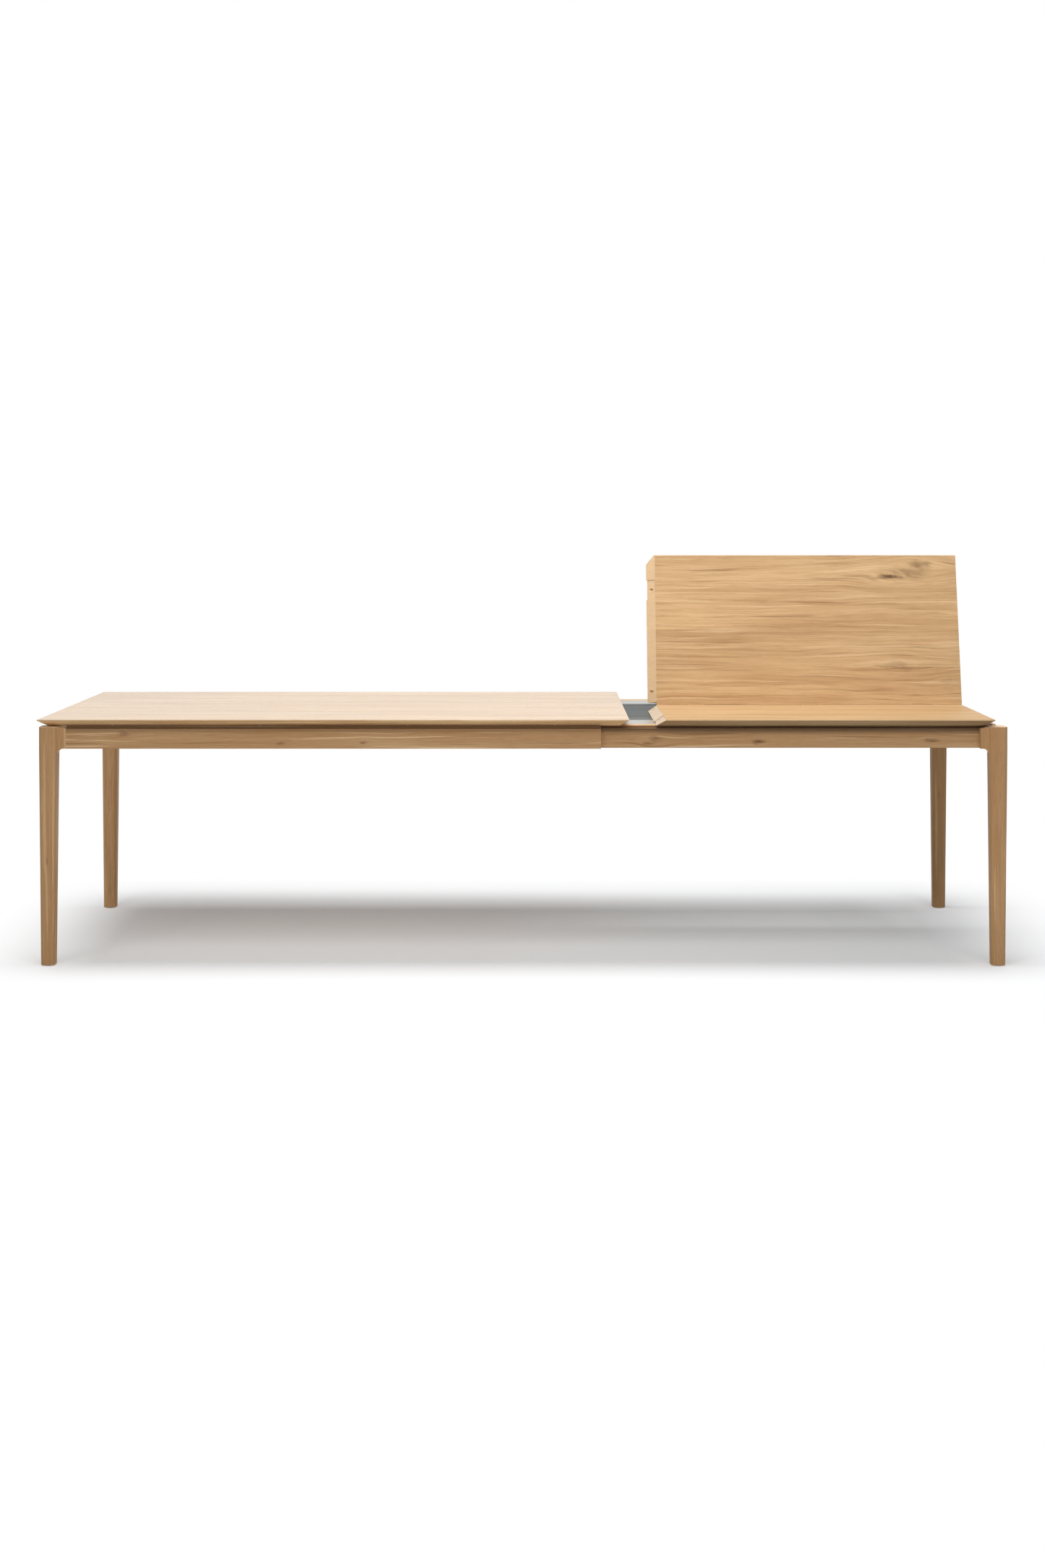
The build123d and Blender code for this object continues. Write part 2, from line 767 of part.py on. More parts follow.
# Places of the hangers, the lift's pivots and the tie bar
hanger_places = (leaf_left + hanger_inset_left, leaf_right - hanger_inset_right)
hanger_upright_y = channel_inner_y + hanger_offset
hanger_end_y = hanger_upright_y + hanger_flange
hanger_floor = channel_bottom - hanger_depth
pivot_z = hanger_floor + pivot_rise
lean = math.radians(arm_lean)
upper_shift = arm_length * math.sin(lean)
upper_pivot_z = pivot_z + arm_length * math.cos(lean)
tray_bottom = frame_z - tray_thickness
ear_rows = (arm_row + arm_plate / 2 + ear_gap, arm_row + arm_plate / 2 + ear_gap + ear_plate)
tie_span = (inner_rail_left, inner_rail_left + tie_width)
bolt_row = (hanger_upright_y + hanger_end_y) / 2
bolt_seats = [(place, channel_bottom - hanger_plate) for place in hanger_places]
bolt_seats.append((sum(tie_span) / 2, channel_bottom - tie_plate))
bolt_hole = channel_bolt_diameter + 2 * fit_clearance

# Box channels with a slot along the inner side, fixed to the inner rails by the battens
for side, place in zip(sides, ("front", "back")):
    with BuildPart() as channel:
        x_span = (inner_rail_left, slide_right)
        block(x_span, (side * channel_inner_y, side * channel_y), (channel_bottom, frame_z))
        block(
            x_span,
            (side * (channel_inner_y + channel_wall), side * (channel_y - channel_wall)),
            (channel_bottom + channel_wall, frame_z - channel_wall),
            mode=Mode.SUBTRACT,
        )
        block(
            x_span,
            (side * channel_inner_y, side * (channel_inner_y + channel_wall)),
            (slot_bottom, slot_top),
            mode=Mode.SUBTRACT,
        )
        for bolt_x, seat in bolt_seats:
            start = (bolt_x, side * bolt_row, channel_bottom)
            rod(start, (0, 0, 1), bolt_hole, channel_wall, mode=Mode.SUBTRACT)
    save(channel.part, f"slide_channel_{place}")

with BuildPart() as channel_stops:
    for side in sides:
        block(
            (inner_rail_left, stop_right),
            (side * (channel_inner_y + channel_wall), side * (channel_y - channel_wall)),
            (channel_bottom + channel_wall, runner_bottom - stop_clearance),
        )
save(channel_stops.part, "channel_stops")

# Tie bar across the inner ends of the channels
with BuildPart() as tie_bar:
    block(tie_span, (-hanger_end_y, hanger_end_y), (channel_bottom - tie_plate, channel_bottom))
    for side in sides:
        start = (sum(tie_span) / 2, side * bolt_row, channel_bottom - tie_plate)
        rod(start, (0, 0, 1), bolt_hole, tie_plate, mode=Mode.SUBTRACT)
save(tie_bar.part, "tie_bar")

# Bent steel straps that hang the lift below the channels
for hanger_x, place in zip(hanger_places, ("left", "right")):
    with BuildPart() as hanger:
        with BuildSketch(at_x(hanger_x)):
            with BuildLine():
                flange_z = channel_bottom - hanger_plate / 2
                floor_z = hanger_floor - hanger_plate / 2
                FilletPolyline(
                    (-hanger_end_y, flange_z),
                    (-hanger_upright_y, flange_z),
                    (-hanger_upright_y, floor_z),
                    (hanger_upright_y, floor_z),
                    (hanger_upright_y, flange_z),
                    (hanger_end_y, flange_z),
                    radius=hanger_bend,
                )
            trace(line_width=hanger_plate)
        extrude(amount=hanger_width / 2, both=True)
        for side in sides:
            start = (hanger_x, side * bolt_row, channel_bottom - hanger_plate)
            rod(start, (0, 0, 1), bolt_hole, hanger_plate, mode=Mode.SUBTRACT)
    save(hanger.part, f"tray_hanger_{place}")

with BuildPart() as channel_bolts:
    for side in sides:
        for bolt_x, seat in bolt_seats:
            start = (bolt_x, side * bolt_row, seat)
            shank = channel_bottom - seat + channel_wall - channel_bolt_back
            rod(start, (0, 0, -1), channel_bolt_head, channel_bolt_head_height)
            rod(start, (0, 0, 1), channel_bolt_diameter, shank)
save(channel_bolts.part, "channel_bolts")

# Ears on the hangers that carry the lift's lower shafts
with BuildPart() as lift_ears:
    for side in sides:
        for hanger_x in hanger_places:
            ear_y = (side * ear_rows[0], side * ear_rows[1])
            ear_x = (hanger_x - ear_length / 2, hanger_x + ear_length / 2)
            block(ear_x, ear_y, (hanger_floor, pivot_z + ear_edge))
            shaft_hole = shaft_diameter + 2 * fit_clearance
            rod((hanger_x, ear_y[0], pivot_z), (0, side, 0), shaft_hole, ear_plate, mode=Mode.SUBTRACT)
save(lift_ears.part, "lift_ears")

# Posts that the arms lean on when the tray is up
post_reach = (stop_post_height - pivot_rise) * math.tan(lean) + arm_width / 2 / math.cos(lean)
with BuildPart() as lift_stops:
    for side in sides:
        for hanger_x in hanger_places:
            post_x = hanger_x + post_reach + stop_post_gap
            post_y = (side * (arm_row - arm_plate), side * (arm_row + arm_plate))
            post_z = (hanger_floor, hanger_floor + stop_post_height)
            block((post_x, post_x + stop_post_length), post_y, post_z)
save(lift_stops.part, "lift_stops")

# Lift arms and the shafts that join each pair
for hanger_x, place in zip(hanger_places, ("left", "right")):
    lower = (hanger_x, pivot_z)
    upper = (hanger_x + upper_shift, upper_pivot_z)
    with BuildPart() as arms:
        for side in sides:
            with BuildSketch(at_y(side * arm_row)):
                with Locations(((lower[0] + upper[0]) / 2, (lower[1] + upper[1]) / 2)):
                    SlotCenterToCenter(arm_length, arm_width, rotation=90 - arm_lean)
                with Locations(lower, upper):
                    Circle(shaft_diameter / 2 + fit_clearance, mode=Mode.SUBTRACT)
            extrude(amount=arm_plate / 2, both=True)
    save(arms.part, f"lift_arms_{place}")
    with BuildPart() as shafts:
        shaft_end = arm_row + shaft_overhang
        for shaft_x, shaft_z in (lower, upper):
            rod((shaft_x, -shaft_end, shaft_z), (0, 1, 0), shaft_diameter, 2 * shaft_end)
    save(shafts.part, f"lift_shafts_{place}")

# Storage tray with slots for the leaf's guide pins
guide_places = (leaf_left + guide_end_inset, leaf_right - guide_end_inset)
with BuildPart() as storage_tray:
    block((tray_left, tray_right), (-tray_half_width, tray_half_width), (tray_bottom, frame_z))
    for guide_x in guide_places:
        with BuildSketch(at_z(tray_bottom)):
            slot_start = guide_x - guide_slot_back
            slot_end = guide_x + leaf_shift + guide_slot_spare
            with Locations(((slot_start + slot_end) / 2, -guide_row)):
                SlotCenterToCenter(slot_end - slot_start, guide_pin_diameter + 2 * guide_slot_gap)
        extrude(amount=tray_thickness, mode=Mode.SUBTRACT)
save(storage_tray.part, "storage_tray")

with BuildPart() as tray_edging:
    for side in sides:
        edge_y = (side * tray_half_width, side * (tray_half_width + edging_width))
        block((tray_left, tray_right), edge_y, (tray_bottom, frame_z))
save(tray_edging.part, "tray_edging")

with BuildPart() as tray_ears:
    for side in sides:
        for hanger_x in hanger_places:
            ear_y = (side * ear_rows[0], side * ear_rows[1])
            ear_x = (hanger_x + upper_shift - ear_length / 2, hanger_x + upper_shift + ear_length / 2)
            block(ear_x, ear_y, (upper_pivot_z - ear_edge, tray_bottom))
            start = (hanger_x + upper_shift, ear_y[0], upper_pivot_z)
            shaft_hole = shaft_diameter + 2 * fit_clearance
            rod(start, (0, side, 0), shaft_hole, ear_plate, mode=Mode.SUBTRACT)
save(tray_ears.part, "tray_ears")

# Pads that the tops rest on
pad_places = (leaf_left + pad_end_inset, (leaf_left + leaf_right) / 2, leaf_right - pad_end_inset)
pad_levels = (frame_z, under_z - pad_gap)
with BuildPart() as rail_pads:
    for side in sides:
        for pad_x in pad_places:
            pad_middle = inner_rail_inner_y + (rail_thickness - groove_depth) / 2
            pad_y = (side * (pad_middle - rail_pad_width / 2), side * (pad_middle + rail_pad_width / 2))
            block((pad_x - pad_length / 2, pad_x + pad_length / 2), pad_y, pad_levels)
save(rail_pads.part, "rail_pads")

with BuildPart() as tray_pads:
    for side in sides:
        for pad_x in pad_places:
            pad_y = (side * tray_pad_row - pad_width / 2, side * tray_pad_row + pad_width / 2)
            block((pad_x - pad_length / 2, pad_x + pad_length / 2), pad_y, pad_levels)
save(tray_pads.part, "tray_pads")

# Leaf halves: each has its own plane, with the fold line as its X axis
fold_origin = (0, 0, top_z + fold_lift)
fold_turn = math.radians(fold_angle)
flat_plane = Plane(origin=fold_origin, x_dir=(1, 0, 0), z_dir=(0, 0, 1))
raised_up = (0, -math.sin(fold_turn), math.cos(fold_turn))
raised_plane = Plane(origin=fold_origin, x_dir=(1, 0, 0), z_dir=raised_up)
leaf_top = -fold_lift
leaf_land = leaf_top - edge_land
leaf_meeting = leaf_top - meeting_land
leaf_under = leaf_top - top_thickness
seam = fold_seam / 2
hinge_places = (leaf_left + hinge_end_inset, (leaf_left + leaf_right) / 2, leaf_right - hinge_end_inset)
knuckle_pitch = hinge_length / knuckle_count
hinge_fit = hinge_length / 2 + fit_clearance


def on(plane, x, y, z):
    """Point in the room for a point given on a leaf half's own plane."""
    return plane.from_local_coords(Vector(x, y, z))


def leaf_rod(plane, start, direction, diameter, length, mode=Mode.ADD):
    """Round bar placed on a leaf half's own plane."""
    origin = on(plane, *start)
    rod(origin, on(plane, *direction) - Vector(*fold_origin), diameter, length, mode=mode)


def leaf_block(plane, x_span, y_span, z_span, mode=Mode.ADD):
    """Square-edged block placed on a leaf half's own plane."""
    spans = (x_span, y_span, z_span)
    middle = on(plane, *((low + high) / 2 for low, high in spans))
    size = tuple(abs(high - low) for low, high in spans)
    with Locations(Plane(origin=middle, x_dir=plane.x_dir, z_dir=plane.z_dir)):
        Box(*size, mode=mode)


def knuckle_span(hinge_x, number, gap):
    """Where one knuckle of a hinge lies along the fold."""
    start = hinge_x - hinge_length / 2 + number * knuckle_pitch
    return start + gap / 2, start + knuckle_pitch - gap / 2


def make_leaf_half(label, plane, side, guides):
    """Half of the leaf: sloped out under its left end, bevelled on its right end and outer edge."""
    along = Plane(origin=fold_origin, x_dir=plane.x_dir, z_dir=-plane.y_dir)
    across = Plane(origin=fold_origin, x_dir=plane.y_dir, z_dir=plane.x_dir)
    with BuildPart() as half:
        with BuildSketch(along):
            with BuildLine():
                levels = (leaf_top, leaf_meeting, leaf_land, leaf_under)
                Polyline(*bevel_outline(leaf_left, leaf_right, -bevel_run, bevel_run, *levels), close=True)
            make_face()
        extrude(amount=half_width, both=True)
        with BuildSketch(across):
            with BuildLine():
                Polyline(
                    (side * seam, leaf_top),
                    (side * half_width, leaf_top),
                    (side * half_width, leaf_land),
                    (side * (half_width - bevel_run), leaf_under),
                    (side * seam, leaf_under),
                    close=True,
                )
            make_face()
        extrude(amount=frame_length, both=True, mode=Mode.INTERSECT)
        upper_face = half.faces().sort_by(Axis(fold_origin, plane.z_dir))[-1]
        outer_edges = upper_face.edges().sort_by(Axis(fold_origin, plane.y_dir * side))[1:]
        fillet(outer_edges, radius=edge_round)
        # The lip stops short of the fold, so that a standing half clears the main top
        lip_span = (leaf_left - bevel_run, leaf_left)
        lip_levels = (leaf_under, leaf_meeting)
        leaf_block(plane, lip_span, (0, side * (seam + lip_notch)), lip_levels, mode=Mode.SUBTRACT)
        # Shallow pocket round the outer alignment hole
        pocket_origin = on(plane, 0, side * align_row_outer, 0)
        with BuildSketch(Plane(origin=pocket_origin, x_dir=plane.x_dir, z_dir=-plane.y_dir)):
            with BuildLine():
                Polyline(
                    (leaf_left, leaf_meeting),
                    (leaf_left - bevel_run, leaf_under),
                    (leaf_left - bevel_run + align_pocket_depth, leaf_under),
                    (leaf_left + align_pocket_depth, leaf_meeting),
                    close=True,
                )
            make_face()
        extrude(amount=align_pocket_length / 2, both=True, mode=Mode.SUBTRACT)
        for hinge_x in hinge_places:
            hinge_span = (hinge_x - hinge_fit, hinge_x + hinge_fit)
            recess_y = (0, side * (seam + hinge_plate))
            leaf_block(plane, hinge_span, recess_y, (-hinge_drop - fit_clearance, 0), mode=Mode.SUBTRACT)
            scallop = 2 * (knuckle_radius + knuckle_clearance)
            leaf_rod(plane, (hinge_span[0], 0, 0), (1, 0, 0), scallop, 2 * hinge_fit, mode=Mode.SUBTRACT)
            for offset in (-hinge_screw_row, hinge_screw_row):
                start = (hinge_x + offset, 0, -hinge_screw_drop)
                hole = hinge_screw_shank + 2 * fit_clearance
                depth = hinge_screw_length + seam
                leaf_rod(plane, start, (0, side, 0), hole, depth, mode=Mode.SUBTRACT)
        for row in (align_row_inner, align_row_outer):
            start = (leaf_left - bevel_run, side * row, leaf_top - (top_z - bevel_middle))
            hole = align_pin_diameter + 2 * align_pin_clearance
            leaf_rod(plane, start, (1, 0, 0), hole, bevel_run + align_hole_depth, mode=Mode.SUBTRACT)
        for guide_x in guides:
            hole = guide_pin_diameter + 2 * fit_clearance
            start = (guide_x, side * guide_row, leaf_under)
            leaf_rod(plane, start, (0, 0, 1), hole, guide_pin_depth, mode=Mode.SUBTRACT)
    save(half.part, label)


def make_hinge_plates(label, plane, side, own_knuckles):
    """Plates let into the fold edge of one half, with that half's knuckles."""
    with BuildPart() as plates:
        for hinge_x in hinge_places:
            plate_span = (hinge_x - hinge_length / 2, hinge_x + hinge_length / 2)
            leaf_block(plane, plate_span, (side * seam, side * (seam + hinge_plate)), (-hinge_drop, 0))
            for number in range(knuckle_count):
                if number in own_knuckles:
                    low, high = knuckle_span(hinge_x, number, knuckle_gap)
                    leaf_rod(plane, (low, 0, 0), (1, 0, 0), 2 * knuckle_radius, high - low)
                else:
                    low, high = knuckle_span(hinge_x, number, -knuckle_gap)
                    room = 2 * (knuckle_radius + knuckle_clearance)
                    leaf_rod(plane, (low, 0, 0), (1, 0, 0), room, high - low, mode=Mode.SUBTRACT)
            pin_hole = hinge_pin_diameter + 2 * fit_clearance
            leaf_rod(plane, (plate_span[0], 0, 0), (1, 0, 0), pin_hole, hinge_length, mode=Mode.SUBTRACT)
            for offset in (-hinge_screw_row, hinge_screw_row):
                start = (hinge_x + offset, side * seam, -hinge_screw_drop)
                head_hole = hinge_screw_head + 2 * fit_clearance
                shank_hole = hinge_screw_shank + 2 * fit_clearance
                inward = (0, side, 0)
                leaf_rod(plane, start, inward, head_hole, hinge_screw_head_height, mode=Mode.SUBTRACT)
                leaf_rod(plane, start, inward, shank_hole, hinge_plate, mode=Mode.SUBTRACT)
    save(plates.part, label)


def make_hinge_screws(label, plane, side):
    """Screws of one half's hinge plates."""
    with BuildPart() as screws:
        for hinge_x in hinge_places:
            for offset in (-hinge_screw_row, hinge_screw_row):
                start = (hinge_x + offset, side * seam, -hinge_screw_drop)
                leaf_rod(plane, start, (0, side, 0), hinge_screw_head, hinge_screw_head_height)
                leaf_rod(plane, start, (0, side, 0), hinge_screw_shank, hinge_screw_length)
    save(screws.part, label)


front_knuckles = range(0, knuckle_count, 2)
back_knuckles = range(1, knuckle_count, 2)
make_leaf_half("leaf_front_half", flat_plane, front, guide_places)
make_leaf_half("leaf_back_half", raised_plane, back, ())
make_hinge_plates("hinge_plates_front", flat_plane, front, front_knuckles)
make_hinge_plates("hinge_plates_back", raised_plane, back, back_knuckles)
make_hinge_screws("hinge_screws_front", flat_plane, front)
make_hinge_screws("hinge_screws_back", raised_plane, back)

with BuildPart() as hinge_pins:
    for hinge_x in hinge_places:
        rod(on(flat_plane, hinge_x - hinge_length / 2, 0, 0), (1, 0, 0), hinge_pin_diameter, hinge_length)
save(hinge_pins.part, "hinge_pins")

# Pins under the front half that keep it in line as it slides home
with BuildPart() as leaf_guide_pins:
    for guide_x in guide_places:
        start = (guide_x, -guide_row, under_z - guide_pin_reach)
        rod(start, (0, 0, 1), guide_pin_diameter, guide_pin_reach + guide_pin_depth)
save(leaf_guide_pins.part, "leaf_guide_pins")
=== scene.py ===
import json
import math

import bpy
from bpy.props import FloatProperty, FloatVectorProperty, PointerProperty
from bpy.types import Operator, Panel, PropertyGroup
from mathutils import Matrix, Vector


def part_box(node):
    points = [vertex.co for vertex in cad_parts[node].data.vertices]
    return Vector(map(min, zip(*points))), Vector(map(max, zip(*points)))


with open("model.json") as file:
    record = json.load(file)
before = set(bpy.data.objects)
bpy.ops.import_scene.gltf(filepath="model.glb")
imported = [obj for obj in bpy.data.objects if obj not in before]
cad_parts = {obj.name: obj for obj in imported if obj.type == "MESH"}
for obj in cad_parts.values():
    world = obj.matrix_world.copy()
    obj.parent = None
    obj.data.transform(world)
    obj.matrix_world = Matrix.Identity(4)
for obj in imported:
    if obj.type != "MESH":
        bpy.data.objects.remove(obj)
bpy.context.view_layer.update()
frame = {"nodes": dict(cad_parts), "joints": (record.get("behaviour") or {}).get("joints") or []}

bl_info = {
    "name": "Extendable oak table",
    "version": (1, 0, 0),
    "blender": (4, 5, 0),
    "location": "3D View > Sidebar > Oak table",
    "description": "Finishes and studio for an extendable oak dining table",
    "category": "Object",
}

IMAGE_WIDTH = 1445
IMAGE_HEIGHT = 2168
SENSOR_WIDTH = 36
VIEW_DEPTH = 200
WHITE = (1, 1, 1)

# The way the grain runs in a piece, as the piece's own length, face width and depth
ALONG_TABLE = ((1, 0, 0), (0, 1, 0), (0, 0, 1))
ALONG_RAIL = ((1, 0, 0), (0, 0, 1), (0, -1, 0))
ACROSS_TABLE = ((0, 1, 0), (0, 0, 1), (1, 0, 0))
UP_LEG = ((0, 0, 1), (1, 0, 0), (0, 1, 0))

# Sockets of a mix of colours, by number because mixes of numbers and vectors have the same names
MIX_SHARE, MIX_FIRST, MIX_SECOND = 0, 6, 7
MIX_RESULT = 2

# Seed of each timber; the rails, end rails and legs count up from theirs
MAIN_TOP_SEED = 1
LEAF_FRONT_SEED = 2
LEAF_BACK_SEED = 3
RAIL_SEED = 9
END_RAIL_SEED = 14
BEECH_SEED = 17
LEG_SEED = 24

# How far apart in the log two pieces are cut, and at most two boards of one piece
SEED_STEP = 3.7
BOARD_STEP = 37.0

# What keeps the boards of two pieces from having the same tones
BOARD_SEED_STEP = 11.3

# Short ripples of the grain, as a share of its long sway
RIPPLE_SHARE = 0.35

# Middle of the log: its depth below a board, how much that sways, and the width over which it can lie
PITH_DEPTH = 0.045
PITH_SWAY = 0.05
PITH_SPREAD = 0.05

# Knots, in sizes of the knot: how far off the grain bends, how much, and how ragged the edge is
KNOT_REACH = 3.2
KNOT_BEND = 0.6
KNOT_RAGGED = 1.8

# Depth of the relief that can be felt on each kind of surface
OAK_RELIEF = 0.00012
METAL_RELIEF = 0.00004
COAT_RELIEF = 0.00005
FELT_RELIEF = 0.0004

# Groove along a rail: its height, the margin of its painted shade below it and past the rail's middle, and its fade
GROOVE_HEIGHT = 0.007
GROOVE_MARGIN = 0.0005
GROOVE_FADE = 0.022

# Painted shade in the groove and painted shadow just below it: their strengths on the outer rails and the inner ones
OUTER_PAINTED_SHADE = (0.6, 0.45)
INNER_PAINTED_SHADE = (0.45, 0.8)

# A leg's middle, from its outer end face and from the table's centre line
LEG_MIDDLE = 0.028
LEG_ROW = 0.468

# Height that the grain of the beech is laid out from
BEECH_LEVEL = 0.7

STEEL_ROUGHNESS = 0.42

# Floor, and where its shadow fades to white: middle, then start and end along and across the table
FLOOR_SIZE = 60
SHADOW_MIDDLE = (0.05, 0.08, 0)
SHADOW_ALONG = (1.35, 1.85)
SHADOW_ACROSS = (0.5, 1.0)

# Lights: size, place, and the point they face
OVERHEAD_LIGHT = ((4.2, 1.6), (0, 0, 3.6), (0, 0, 0))
FRONT_LIGHT = ((6.0, 3.0), (-0.1, -3.4, 3.8), (0.2, 0, 0.8))


def display(red, green, blue):
    """Colour as the shaders want it, from the 0 to 255 values a screen shows."""
    def one(value):
        share = value / 255
        if share <= 0.04045:
            return share / 12.92
        return ((share + 0.055) / 1.055) ** 2.4

    return (one(red), one(green), one(blue))


def colour_prop(name, description, shown):
    return FloatVectorProperty(
        name=name, description=description, default=display(*shown), size=3, min=0, max=1, subtype="COLOR"
    )


def length_prop(name, description, default):
    return FloatProperty(name=name, description=description, default=default, min=0, unit="LENGTH", precision=4)


class OakTableWood(PropertyGroup):
    """Colours and grain of the timber, some of which paint in light and shade."""

    top_tone: colour_prop("Top tone", "Oak of the main top", (207, 175, 130))
    # Painted light and shade: the flat leaf half is a darker tone and the raised half a paler one than the main top
    flat_painted_shade_tone: colour_prop("Flat half tone", "Oak of the leaf half that lies flat", (200, 168, 126))
    raised_painted_light_tone: colour_prop("Raised half tone", "Oak of the leaf half that stands up", (225, 188, 140))
    frame_tone: colour_prop("Frame tone", "Oak of the legs and rails", (188, 149, 107))
    latewood: colour_prop("Latewood", "Darker streaks of the oak", (168, 122, 76))
    pale_line: colour_prop("Pale line", "Pale streaks of the oak", (240, 208, 164))
    pore: colour_prop("Pore", "Open pores of the oak", (128, 90, 55))
    knot: colour_prop("Knot", "Heart of a knot", (96, 64, 38))
    end_grain: colour_prop("End grain", "Oak cut across its grain", (234, 204, 166))
    flat_end: colour_prop("Flat half end", "End grain of the leaf half that lies flat", (205, 188, 166))
    # Painted shade: the dark colour laid in the groove along a rail and in the shadow that fades below it
    painted_shade: colour_prop("Painted shade", "Dark stain in the groove along a rail", (58, 42, 27))
    beech: colour_prop("Beech", "Hidden battens and dowels", (216, 182, 142))
    board_width: length_prop("Board width", "Width of one glued board", 0.125)
    ring_pitch: length_prop("Ring pitch", "Distance between growth rings", 0.0042)


class OakTableFittings(PropertyGroup):
    """Colours of the fittings."""

    aluminium: colour_prop("Aluminium", "Slide channels and tray edging", (178, 179, 176))
    tray: colour_prop("Tray", "Coated sheet of the storage tray", (54, 58, 57))
    steel: colour_prop("Steel", "Runners, hangers, arms and plates", (150, 151, 153))
    zinc: colour_prop("Zinc", "Screws, bolts, nuts and alignment pins", (178, 180, 182))
    brass: colour_prop("Brass", "Fold hinges", (150, 117, 82))
    nylon: colour_prop("Nylon", "Shoes, stops, glides and guide pins", (48, 48, 49))
    felt: colour_prop("Felt", "Rest pads", (140, 132, 122))


class OakTableStage(PropertyGroup):
    """Camera, light and floor."""

    eye: FloatVectorProperty(
        name="Eye", description="Camera position", default=(0.034, -6.9, 1.381), size=3, subtype="TRANSLATION"
    )
    lens: FloatProperty(name="Lens", description="Focal length in millimetres", default=48.4, min=1)
    level_x: FloatProperty(name="Level column", description="Photo column straight ahead of the eye", default=738)
    level_y: FloatProperty(name="Level row", description="Photo row at the height of the eye", default=708)
    key: FloatProperty(name="Key light", description="Power of the overhead light", default=108, min=0, unit="POWER")
    fill: FloatProperty(name="Fill light", description="Power of the front light", default=125, min=0, unit="POWER")
    ambient: FloatProperty(name="Ambient", description="Strength of the even light", default=0.12, min=0)
    bounce: FloatProperty(name="Bounce", description="Light that the floor gives back", default=0.9, min=0, max=1)
    haze: FloatProperty(name="Shadow lift", description="White that the floor's shadow keeps", default=0.16, min=0)
    floor_tone: colour_prop("Floor", "Pale floor", (249, 251, 253))


class Weave:
    """Short way to add nodes to a material and join them up."""

    def __init__(self, name):
        self.material = bpy.data.materials.new(name)
        self.material.use_nodes = True
        self.nodes = self.material.node_tree.nodes
        self.links = self.material.node_tree.links
        self.nodes.clear()
        self.out = self.nodes.new("ShaderNodeOutputMaterial")
        self.shader = self.nodes.new("ShaderNodeBsdfPrincipled")
        self.join(self.shader.outputs["BSDF"], self.out.inputs["Surface"])

    def join(self, source, target):
        self.links.new(source, target)

    def put(self, value, target):
        """Give a socket a number or colour, or join it to another socket."""
        if isinstance(value, bpy.types.NodeSocket):
            self.join(value, target)
        elif target.type == "RGBA":
            target.default_value = (*value[:3], 1)
        else:
            target.default_value = value

    def calc(self, operation, *values):
        """One step of arithmetic."""
        node = self.nodes.new("ShaderNodeMath")
        node.operation = operation
        for value, target in zip(values, node.inputs):
            self.put(value, target)
        return node.outputs[0]

    def vector(self, operation, *values):
        """One step of arithmetic on vectors."""
        node = self.nodes.new("ShaderNodeVectorMath")
        node.operation = operation
        for value, target in zip(values, node.inputs):
            self.put(value, target)
        return node.outputs["Value" if operation in ("LENGTH", "DOT_PRODUCT") else "Vector"]

    def split(self, vector):
        node = self.nodes.new("ShaderNodeSeparateXYZ")
        self.join(vector, node.inputs[0])
        return node.outputs[0], node.outputs[1], node.outputs[2]

    def pack(self, x, y, z):
        node = self.nodes.new("ShaderNodeCombineXYZ")
        for value, target in zip((x, y, z), node.inputs):
            self.put(value, target)
        return node.outputs[0]

    def place(self, axes=ALONG_TABLE, origin=(0, 0, 0)):
        """Object coordinates turned to a piece's own length, width and depth."""
        coords = self.nodes.new("ShaderNodeTexCoord")
        mapping = self.nodes.new("ShaderNodeMapping")
        mapping.vector_type = "TEXTURE"
        mapping.inputs["Location"].default_value = origin
        turn = Matrix(axes).transposed()
        mapping.inputs["Rotation"].default_value = turn.to_euler("XYZ")
        self.join(coords.outputs["Object"], mapping.inputs["Vector"])
        return mapping.outputs[0]

    def noise(self, vector, stretch, detail=2.0, roughness=0.5, distortion=0.0):
        """Noise of one cell a metre, squeezed by the three stretch values."""
        node = self.nodes.new("ShaderNodeTexNoise")
        node.inputs["Scale"].default_value = 1
        node.inputs["Detail"].default_value = detail
        node.inputs["Roughness"].default_value = roughness
        node.inputs["Distortion"].default_value = distortion
        self.join(self.vector("MULTIPLY", vector, stretch), node.inputs["Vector"])
        return node.outputs[0]

    def ease(self, value, low, high, start=0.0, end=1.0):
        """Value carried smoothly from one range to another."""
        node = self.nodes.new("ShaderNodeMapRange")
        node.interpolation_type = "SMOOTHSTEP"
        sockets = ("Value", "From Min", "From Max", "To Min", "To Max")
        for given, name in zip((value, low, high, start, end), sockets):
            self.put(given, node.inputs[name])
        return node.outputs[0]

    def blend(self, share, first, second):
        """Mix of two colours."""
        node = self.nodes.new("ShaderNodeMix")
        node.data_type = "RGBA"
        self.put(share, node.inputs[MIX_SHARE])
        self.put(first, node.inputs[MIX_FIRST])
        self.put(second, node.inputs[MIX_SECOND])
        return node.outputs[MIX_RESULT]

    def shade(self, colour, level):
        """Colour times a grey level."""
        node = self.nodes.new("ShaderNodeMix")
        node.data_type = "RGBA"
        node.blend_type = "MULTIPLY"
        node.inputs[MIX_SHARE].default_value = 1
        self.put(colour, node.inputs[MIX_FIRST])
        self.join(self.pack(level, level, level), node.inputs[MIX_SECOND])
        return node.outputs[MIX_RESULT]

    def glow(self, strength):
        """White light given off by a surface."""
        node = self.nodes.new("ShaderNodeEmission")
        self.put(WHITE, node.inputs["Color"])
        node.inputs["Strength"].default_value = strength
        return node.outputs[0]

    def layer(self, share, first, second):
        """Mix of two shaders."""
        node = self.nodes.new("ShaderNodeMixShader")
        for source, target in zip((share, first, second), node.inputs):
            self.join(source, target)
        return node.outputs[0]

    def bump(self, height, depth):
        node = self.nodes.new("ShaderNodeBump")
        node.inputs["Distance"].default_value = depth
        self.join(height, node.inputs["Height"])
        self.join(node.outputs[0], self.shader.inputs["Normal"])

